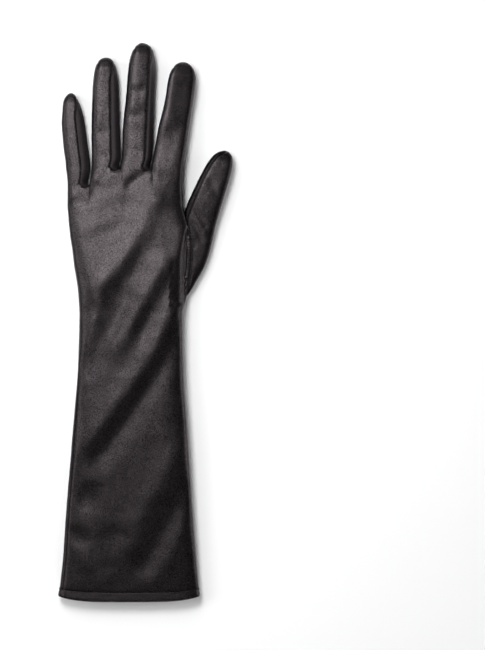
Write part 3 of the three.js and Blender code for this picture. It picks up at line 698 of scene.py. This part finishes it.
def satin(name, depth=1.0, sparkle=1.0, rough=0.37, pale=1.0, extra=None):
    """Black stretch satin: threads that shine each in its own measure, cloudy lustre, dark puckered seams.
    depth scales the shine, sparkle its unevenness and rough its softness. pale lightens the dye, to paint
    in light where a piece lies in shade. extra adds the piece's own marks: seam lines, and painted shade."""
    material = bpy.data.materials.new(name)
    material.use_nodes = True
    shader = material.node_tree.nodes["Principled BSDF"]
    flow = Flow(material.node_tree)

    def noise(scale, detail, stretch=(1, 1, 1)):
        place = flow.node("ShaderNodeTexCoord", output="Object")
        turned = flow.node("ShaderNodeMapping", {}, {"Vector": place, "Scale": stretch})
        return flow.node("ShaderNodeTexNoise", {}, {"Vector": turned, "Scale": scale, "Detail": detail,
                                                    "Roughness": 0.6})

    threads = noise(THREAD_NOISE, 1.0, THREAD_STRETCH)
    clouds = noise(CLOUD_NOISE, 3.0)
    drift = noise(DRIFT_NOISE, 2.0)
    seam = flow.node("ShaderNodeAttribute", {"attribute_name": "seam"}, output="Fac")
    place = flow.node("ShaderNodeTexCoord", output="Object")
    level = flow.node("ShaderNodeSeparateXYZ", {}, {"Vector": place}, output="Y")
    pucker = flow.maths("SINE", level * (2 * math.pi / (PUCKER_PITCH * MM))) * seam.hill(PUCKER_REACH * MM)

    dark = seam.hill(SEAM_LINE * MM) * SEAM_DARKNESS
    if extra:
        dark = extra(flow, dark)
    lustre = (threads - 0.5) * (3.6 * sparkle) + (clouds - 0.5) * 0.4 + 0.6
    lustre = lustre.clip(0.1, 1.5) * (1 - dark.clip(0, 1)) * depth
    # pale above 1 lightens both dyes: painted light
    dark_dye, light_dye = ((*(c * pale for c in dye), 1) for dye in (SATIN_DARK, SATIN_LIGHT))
    colour = lustre.clip(0, 1).blend(dark_dye, light_dye)
    roughness = ((clouds - 0.5) * 0.08 + rough).clip(0.3, 0.6)
    height = threads * 0.00002 + drift * 0.00004 + pucker * 0.00005
    bump = flow.node("ShaderNodeBump", {}, {"Strength": 0.85, "Distance": 1.0, "Height": height})
    links = material.node_tree.links
    links.new(colour.socket, shader.inputs["Base Color"])
    links.new((1 - lustre).clip(0, 1).socket, shader.inputs["Metallic"])
    links.new(roughness.socket, shader.inputs["Roughness"])
    links.new(bump.socket, shader.inputs["Normal"])
    shader.inputs["Specular Tint"].default_value = SHINE_TINT
    return material


FACES = ("top", "bottom")


def facing(face, grid):
    """Patches of the palm side are turned, so that they face down."""
    return grid if face == "top" else grid[:, ::-1]


grids = []
ends = {}
for face in FACES:
    for lane in range(7):
        top = LITTLE_CROTCH_Y if lane == 1 else CROTCH_Y
        grid = lane_grid(lane, BODY_LEVELS[BODY_LEVELS < top + 1e-6], face)
        ends[lane, face] = grid[-1]
        grids.append(facing(face, grid))
for index, finger in enumerate(FINGERS):
    levels = finger_levels(finger)
    y = levels[:, None]
    section, shares = finger_at(finger, y), seam_shares(finger, y)
    t = lane_spacing(2 * index, np.linspace(0, 1, LANE_COLUMNS[2 * index] + 1)[None, :])
    for face in FACES:
        x = section["mid"] + section["half"] * mix(shares[face + "_left"], shares[face + "_right"], t)
        grid = finger_point(index, x, y, face)
        grid[0] = ends[2 * index, face]
        grids.append(facing(face, grid))
    past = levels[levels > finger["tip"][0] - SEAM_END - 1e-6]
    if index < 3:
        grids.append(side_grid(index, True, past))
    if index > 0:
        grids.append(side_grid(index, False, past))
trank_points, trank_faces = weld(grids)

# The side seam closes the arm along the little finger side, just inside the outline
SIDE_SEAM = [(-186, 2.2), (-150, 2.0), (-100, 1.8), (-60, 1.5), (-33, 0.9)]
SIDE_SEAM_END = -40
SIDE_SEAM_FADE = 14
SIDE_SEAM_UNDER = 0.6
NO_SEAM = 6.0             # this far from it, the seam no longer shows
side_seam_in = smooth_curve(*zip(*SIDE_SEAM))


def side_seam_distance(points):
    y = points[:, 1]
    away = points[:, 0] - body["left"](y) - side_seam_in(y)
    hidden = ease((y - SIDE_SEAM_END) / SIDE_SEAM_FADE) * NO_SEAM
    under = np.where(points[:, 2] < body["side_left"](y) - SIDE_SEAM_UNDER, NO_SEAM, 0)
    return np.where(np.abs(away) + hidden + under < NO_SEAM, away, NO_SEAM)


# The thumb's tube is worked out here, because the trank has a hole where the thumb goes in
THUMB_COLUMNS = ("along", "x", "y", "half", "top", "bottom")
THUMB = [
    (0, 13.5, 9.0, 4.5, 8.0, 3.0),
    (8, 16.6, 15.5, 7.4, 8.5, 2.6),
    (16, 19.6, 23.5, 10.4, 8.9, 2.2),
    (26, 23.6, 34.5, 12.6, 9.3, 1.8),
    (36, 27.8, 44.5, 13.6, 9.6, 1.2),
    (48, 32.2, 56.5, 12.9, 10.0, 0.6),
    (60, 36.4, 69.5, 11.6, 11.0, 0.1),
    (74, 41.1, 82.6, 10.8, 12.4, 0),
    (86, 45.1, 93.0, 10.0, 12.8, 0),
    (96, 48.8, 102.0, 9.1, 12.4, 0),
    (104, 52.0, 109.2, 7.6, 11.8, 0),
    (109, 54.3, 113.8, 5.1, 11.4, 0),
]
THUMB_TIP = (112, 55.5, 116.6)
THUMB_SIDE = 0.5
THUMB_BELLY = 0.75
THUMB_BACK = 4.5
THUMB_SIDES = 96
THUMB_ROWS = 84
THUMB_TIP_ROWS = 12
# Narrow wrinkles on the back of the thumb, of the same columns as the folds
THUMB_WRINKLES = [
    (35.5, 74.0, 40.5, 66.0, 0.5, 1.9, -0.28),
    (37.0, 75.0, 41.6, 68.0, 0.5, 2.1, 0.18),
    (32.5, 67.0, 38.0, 56.0, 0.6, 2.1, -0.28),
    (34.6, 69.6, 39.6, 60.0, 0.6, 2.1, 0.2),
    (31.8, 55.0, 33.0, 51.5, 0, 1.6, -0.2),
    (44.0, 96.0, 49.0, 84.0, 0.3, 3.4, -0.3),
]

thumb_levels = [row[0] for row in THUMB] + [THUMB_TIP[0]]
thumb = {name: smooth_curve(thumb_levels[:len(THUMB)], [row[i + 1] for row in THUMB])
         for i, name in enumerate(THUMB_COLUMNS[1:])}
thumb["x"] = smooth_curve(thumb_levels, [row[1] for row in THUMB] + [THUMB_TIP[1]])
thumb["y"] = smooth_curve(thumb_levels, [row[2] for row in THUMB] + [THUMB_TIP[2]])
thumb["square"] = smooth_curve(thumb_levels, [row[3] ** 2 for row in THUMB] + [0])

end = THUMB_TIP[0]
tip_rows = end - TIP_ROUND * (1 - np.sin(np.linspace(0, np.pi / 2, THUMB_TIP_ROWS)[1:]))
along = np.concatenate([np.linspace(0, end - TIP_ROUND, THUMB_ROWS), tip_rows])[:, None]
run = np.stack([thumb[name](along + 1) - thumb[name](along - 1) for name in ("x", "y")])
run /= np.linalg.norm(run, axis=0)
half = np.sqrt(np.maximum(thumb["square"](along), 0))
low, high = thumb["bottom"](along), thumb["top"](along)
side = mix(low, high, THUMB_SIDE)
angle = np.linspace(0, 2 * np.pi, THUMB_SIDES + 1)[None, :]
across, up = np.cos(angle), np.sin(angle)
across[:, -1], up[:, -1] = across[:, 0], up[:, 0]
rise = np.where(up > 0, high - side, side - low) * round_end(end - along)
x = thumb["x"](along) + run[1] * across * half
y = thumb["y"](along) - run[0] * across * half
z = side + np.where(up > 0, superellipse(across, THUMB_BACK), -np.abs(up) ** THUMB_BELLY) * rise
z = z + fold_sum(THUMB_WRINKLES, x, y) * np.clip(up, 0, 1) ** 0.5
tube = np.stack(np.broadcast_arrays(x, y, z), axis=-1)[:, ::-1]
tube_mark = np.stack(np.broadcast_arrays(across, along, up), axis=-1)[:, ::-1]
thumb_points, thumb_faces = weld([tube])

HOLE_LAP = 1.2            # how far each of the two reaches into the other at the thumb's seam
HOLE_AREA = (8, 0, 90)    # the hole lies right of this x, between these levels
FAR = 9.0


def outside(points, other_points, other_faces):
    """How far points lie outside another skin, below 0 inside it."""
    skin = BVHTree.FromPolygons(other_points.tolist(), other_faces.tolist())
    apart = np.empty(len(points))
    for i, point in enumerate(points):
        place, normal, _, distance = skin.find_nearest(Vector(point))
        apart[i] = math.copysign(distance, (Vector(point) - place).dot(normal))
    return apart


near_thumb = trank_points[:, 0] > HOLE_AREA[0]
near_thumb &= (trank_points[:, 1] > HOLE_AREA[1]) & (trank_points[:, 1] < HOLE_AREA[2])
trank_from_thumb = np.full(len(trank_points), FAR)
trank_from_thumb[near_thumb] = outside(trank_points[near_thumb], thumb_points, thumb_faces)
thumb_from_trank = outside(thumb_points, trank_points, trank_faces)

hole = (trank_from_thumb[trank_faces] < -HOLE_LAP).all(axis=1)
trank_used, trank_points, trank_faces = keep_used(trank_points, trank_faces[~hole])
trank_from_thumb = trank_from_thumb[trank_used]

RUMPLE = 0.16
FLAT_RUMPLE = 0.35        # its share on the palm side
SIDE_SEAM_DEPTH = 0.45
SIDE_SEAM_WIDTH = 0.6
SIDE_SEAM_LINE = 0.5
SIDE_SEAM_DARKNESS = 0.9
THUMB_SEAM_REACH = 1.5
HEM_SEAM_REACH = 1.5
HEM_SEAM_SOFT = 0.45      # the hem's seam is drawn by its stitches more than by its own dark line
back = ease((normals_of(trank_points, trank_faces)[:, 2] + 0.1) / 0.5)
trank_seam = from_seam(trank_points, trank_faces)
at_thumb = trank_from_thumb < THUMB_SEAM_REACH
trank_seam = np.minimum(trank_seam, np.where(at_thumb, np.abs(trank_from_thumb) / 2, FAR))
at_hem = trank_points[:, 1] < HEM_TOP_Y + HEM_SEAM_REACH
trank_seam[at_hem] = np.hypot(trank_seam[at_hem], HEM_SEAM_SOFT)
trank_side = side_seam_distance(trank_points)
soft = two_rumples(trank_points, 15, 7, 1) * RUMPLE * mix(FLAT_RUMPLE, 1, back)
valley = SIDE_SEAM_DEPTH * np.exp(-(trank_side / SIDE_SEAM_WIDTH) ** 2)
trank_points = trank_points + normals_of(trank_points, trank_faces) * (soft - valley)[:, None]
trank_points = turn_in(trank_points, trank_faces, trank_seam)


def side_seam_line(flow, dark):
    line = flow.node("ShaderNodeAttribute", {"attribute_name": "side_seam"}, output="Fac")
    return flow.maths("MAXIMUM", dark, line.hill(SIDE_SEAM_LINE * MM) * SIDE_SEAM_DARKNESS)


trank_satin = satin("satin_trank", extra=side_seam_line)
cloth_piece("trank_cloth", trank_points, trank_faces,
            {"seam": trank_seam * MM, "side_seam": trank_side * MM}, trank_satin, "trank")

# The fourchettes
# Three side strips of the same satin, one between each two fingers: down the side of one finger, round
# the crotch in a narrow web, and up the next. They are turned across the trank's weave and look duller.
# Their dye is painted paler, as painted light where the neighbouring fingers shade them.
STRIP_WAVE = 9
STRIP_RUMPLE = 0.12


def fourchette(web):
    crotch = CROTCHES[web]
    between = BODY_LEVELS[(BODY_LEVELS > crotch - 1e-6) & (BODY_LEVELS < CROTCH_Y - 1e-6)]
    grids = []
    for right in (True, False):
        index = web if right else web + 1
        levels = np.concatenate([between, finger_levels(FINGERS[index])])
        levels = levels[levels < FINGERS[index]["tip"][0] - SEAM_END + 1e-6]
        grids.append(side_grid(index, right, levels))
    lane = 2 * web + 1
    above, below = (lane_grid(lane, [crotch], face)[0] for face in FACES)
    left = side_grid(web, True, [crotch])[0]
    right = side_grid(web + 1, False, [crotch])[0][::-1]
    v = np.linspace(0, 1, len(left))[:, None, None]
    u = np.linspace(0, 1, len(above))[None, :, None]
    grids.append(above[None] * (1 - v) + below[None] * v + left[:, None] * (1 - u) + right[:, None] * u
                 - above[0] * (1 - u) * (1 - v) - above[-1] * u * (1 - v)
                 - below[0] * (1 - u) * v - below[-1] * u * v)
    return weld(grids)


# The strips' dye is four times paler: painted light where the neighbouring fingers shade them
strip_satin_painted_light = satin("satin_strips_painted_light", depth=1.6, sparkle=0.4, rough=0.52, pale=4.0)
for web in range(3):
    name = f"fourchette_{FINGERS[web]['name']}_{FINGERS[web + 1]['name']}"
    points, faces = fourchette(web)
    seam = from_seam(points, faces)
    soft = rumple(points, STRIP_WAVE, 5 + web) * STRIP_RUMPLE
    points = points + normals_of(points, faces) * soft[:, None]
    points = turn_in(points, faces, seam)
    cloth_piece(name + "_cloth", points, faces, {"seam": seam * MM}, strip_satin_painted_light, name)

# The thumb
# One tube of satin, sewn into a hole low in the trank's index side. Its own seam runs up beside the
# index finger, from the crotch to the tip, and parts off a side painted darker as shade. The cloth beside
# the hole has painted shade too.
_, first = np.unique(np.round(tube.reshape(-1, 3) * WELD_STEPS).astype(np.int64), axis=0, return_index=True)
marks = tube_mark.reshape(-1, 3)[first]
inside = (thumb_from_trank[thumb_faces] < -HOLE_LAP).all(axis=1)
thumb_used, thumb_points, thumb_faces = keep_used(thumb_points, thumb_faces[~inside])
thumb_from_trank, marks = thumb_from_trank[thumb_used], marks[thumb_used]

# Where the seam runs: level, and share of the half width
THUMB_SEAM = [(48, -0.80), (58, -0.64), (74, -0.66), (90, -0.72), (100, -0.70), (106, -0.55), (112, -0.2)]
THUMB_SEAM_START = 46
THUMB_SEAM_FADE = 8
THUMB_SEAM_WIDTH = 0.6
THUMB_SEAM_DEPTH = 0.4
THUMB_RUMPLE = 0.12
thumb_seam_at = smooth_curve(*zip(*THUMB_SEAM))
level = marks[:, 1]
widths = np.sqrt(np.maximum(thumb["square"](level), 0))
# The seam lies on the back only. Below 0 a point is on the side beyond it, which has painted shade.
on_back = marks[:, 2] > 0
thumb_line = (marks[:, 0] - thumb_seam_at(level)) * widths
thumb_line = np.where(on_back, thumb_line, np.where(marks[:, 0] < 0, -NO_SEAM, NO_SEAM))
groove = np.where(on_back, np.exp(-(thumb_line / THUMB_SEAM_WIDTH) ** 2), 0)
groove = groove * ease((level - THUMB_SEAM_START) / THUMB_SEAM_FADE)
thumb_edge = np.abs(thumb_from_trank)
soft = two_rumples(thumb_points, 12, 6, 11) * THUMB_RUMPLE - THUMB_SEAM_DEPTH * groove
thumb_points = thumb_points + normals_of(thumb_points, thumb_faces) * soft[:, None]
thumb_points = turn_in(thumb_points, thumb_faces, thumb_edge)


PAINTED_SHADE_EDGE = 1.2           # over what width the side beyond the seam is painted dark as shade, and how dark it gets
PAINTED_SHADE_DARKNESS = 0.62
HOLE_SHADE_REACH = 2.4       # the same painted shade beside the hole, where the thumb meets the trank
HOLE_SHADE_DARKNESS = 0.55
THUMB_LINE = 0.45


# The thumb's darkening: its seam's dark line, and painted shade on the side beyond the seam and beside the
# hole
def thumb_seam_and_painted_shade(flow, dark):
    line = flow.node("ShaderNodeAttribute", {"attribute_name": "thumb_line"}, output="Fac")
    # Painted shade on the side beyond the seam
    away = (0.5 - line / (PAINTED_SHADE_EDGE * MM)).clip(0, 1) * PAINTED_SHADE_DARKNESS
    # Painted shade beside the hole, where the thumb meets the trank
    hole_painted_shade = flow.node("ShaderNodeAttribute", {"attribute_name": "seam"}, output="Fac")
    hole_painted_shade = hole_painted_shade.hill(HOLE_SHADE_REACH * MM) * HOLE_SHADE_DARKNESS
    dark = flow.maths("MAXIMUM", flow.maths("MAXIMUM", dark, away), hole_painted_shade)
    return flow.maths("MAXIMUM", dark, line.hill(THUMB_LINE * MM) * SEAM_DARKNESS)


thumb_satin = satin("satin_thumb", depth=0.9, sparkle=0.8, extra=thumb_seam_and_painted_shade)
cloth_piece("thumb_cloth", thumb_points, thumb_faces,
            {"seam": thumb_edge * MM, "thumb_line": thumb_line * MM}, thumb_satin, "thumb")

# The hem
# The arm's end is turned in and stitched down all round with a dark zigzag thread, which makes a slightly
# proud double band. Its mouth stays open.
HEM_PROUD = 0.05
HEM_TILT = 0.5            # its lower edge is fuller than its upper one
HEM_WALL = 1.6
HEM_WAVE = 5
HEM_RUMPLE = 0.08
HEM_ROLL = 0.5
HEM_LEVELS = HEM_Y + np.concatenate([[0, 0.25, 0.6, 1.1], np.linspace(1.8, HEM_DEPTH - 1.1, 5),
                                     HEM_DEPTH - np.array([0.6, 0.25, 0])])
hem_points, hem_faces = weld([facing(face, lane_grid(lane, HEM_LEVELS, face))
                              for face in FACES for lane in range(7)])
hem_seam = from_seam(hem_points, hem_faces)
share = share_at(body_at(hem_points[:, 1]), hem_points[:, 0])
up_hem = hem_points[:, 1]
for _ in range(5):
    up_hem = hem_points[:, 1] + HEM_BOW * (1 - share**FADE) * (1 - ease((up_hem - HEM_Y) / BOW_FADE))
fuller = HEM_PROUD + HEM_TILT * (1 - (up_hem - HEM_Y) / HEM_DEPTH)
fuller = fuller + rumple(hem_points, HEM_WAVE, 21) * HEM_RUMPLE
hem_points = hem_points + normals_of(hem_points, hem_faces) * fuller[:, None]
# Only the lower edge turns in, because the upper one lies flat under the stitches
lower_edge = np.where(up_hem < HEM_Y + HEM_DEPTH / 2, hem_seam, FAR)
hem_points = turn_in(hem_points, hem_faces, lower_edge, deep=HEM_ROLL)
hem_seam = np.hypot(hem_seam, HEM_SEAM_SOFT)
hem_satin = satin("satin_hem", depth=1.0, sparkle=0.8)
cloth_piece("hem_cloth", hem_points, hem_faces, {"seam": hem_seam * MM}, hem_satin, "hem", thick=HEM_WALL)

# The hem's stitches
# One dark thread, sewn as a zigzag round the upper edge of the hem. It holds the turned-in end of the arm
# down, and every stitch reaches across that edge.
STITCH_LEVEL = HEM_TOP_Y - 0.1
STITCH_PITCH = 1.9
STITCH_LENGTH = 1.7
STITCH_LEAN = 0.75
STITCH_SAG = 0.12
STITCH_SHAPE = ((-0.5, 0.2), (-0.4, 0.85), (0, 1), (0.4, 0.85), (0.5, 0.2))  # along it, and how thick there
STITCH_SIDES = 6
THREAD = 0.28
TWIST_SCALE = 900.0
THREAD_DARK = (0.006, 0.005, 0.0055, 1)
THREAD_LIGHT = (0.016, 0.014, 0.015, 1)
ring = []
for face in FACES:
    rows = [lane_grid(lane, [STITCH_LEVEL], face)[0] for lane in range(7)]
    line = np.concatenate(rows)
    ring.append(line if face == "top" else line[::-1])
ring = np.concatenate(ring)
ring = ring[np.concatenate([[True], np.linalg.norm(np.diff(ring, axis=0), axis=1) > 1e-3])]
length = np.concatenate([[0], np.cumsum(np.linalg.norm(np.diff(ring, axis=0), axis=1))])
count = 2 * round(length[-1] / STITCH_PITCH / 2)
spots = (np.arange(count) + 0.5) * length[-1] / count


def on_ring(distance):
    return np.stack([np.interp(distance % length[-1], length, ring[:, k]) for k in range(3)], axis=-1)


points, faces = [], []
for number, spot in enumerate(spots):
    forward = on_ring(spot + 0.8) - on_ring(spot - 0.8)
    forward /= np.linalg.norm(forward)
    out = np.cross(forward, (0, 1, 0))
    out /= np.linalg.norm(out)
    out *= 1 if np.dot(out, (0, 0, 1)) * (1 if spot < length[-1] / 2 else -1) > 0 else -1
    sideways = np.cross(out, forward)
    lean = STITCH_LEAN if number % 2 else -STITCH_LEAN
    direction = forward * math.cos(lean) + sideways * math.sin(lean)
    wide = np.cross(out, direction)
    middle = on_ring(spot) + out * (PROUD + HEM_PROUD)
    start = len(points)
    for t, size in STITCH_SHAPE:
        for turn in np.linspace(0, 2 * np.pi, STITCH_SIDES + 1)[:-1]:
            points.append(middle + direction * t * STITCH_LENGTH - out * (2 * t) ** 2 * STITCH_SAG
                          + (wide * math.cos(turn) + out * math.sin(turn)) * THREAD * size)
    last = start + (len(STITCH_SHAPE) - 1) * STITCH_SIDES
    for row in range(start, last, STITCH_SIDES):
        for k in range(STITCH_SIDES):
            a, b = row + k, row + (k + 1) % STITCH_SIDES
            faces.append((a, b, b + STITCH_SIDES, a + STITCH_SIDES))
    faces.append(tuple(reversed(range(start, start + STITCH_SIDES))))
    faces.append(tuple(range(last, last + STITCH_SIDES)))
points = np.array(points)
points[:, 2] = np.maximum(points[:, 2], 0)
thread_mesh = bpy.data.meshes.new("hem_stitches")
thread_mesh.from_pydata(((points + SHIFT) / 1000).tolist(), [], faces)
thread_mesh.shade_smooth()
thread = bpy.data.materials.new("thread")
thread.use_nodes = True
shader = thread.node_tree.nodes["Principled BSDF"]
flow = Flow(thread.node_tree)
place = flow.node("ShaderNodeTexCoord", output="Object")
twist = flow.node("ShaderNodeTexWave", {"bands_direction": "DIAGONAL"},
                  {"Vector": place, "Scale": TWIST_SCALE})
thread.node_tree.links.new(twist.blend(THREAD_DARK, THREAD_LIGHT).socket, shader.inputs["Base Color"])
shader.inputs["Roughness"].default_value = 0.6
shader.inputs["Specular IOR Level"].default_value = 0.1
thread_mesh.materials.append(thread)
stitches = bpy.data.objects.new("hem_stitches", thread_mesh)
scene.collection.objects.link(stitches)
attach(stitches, "root")
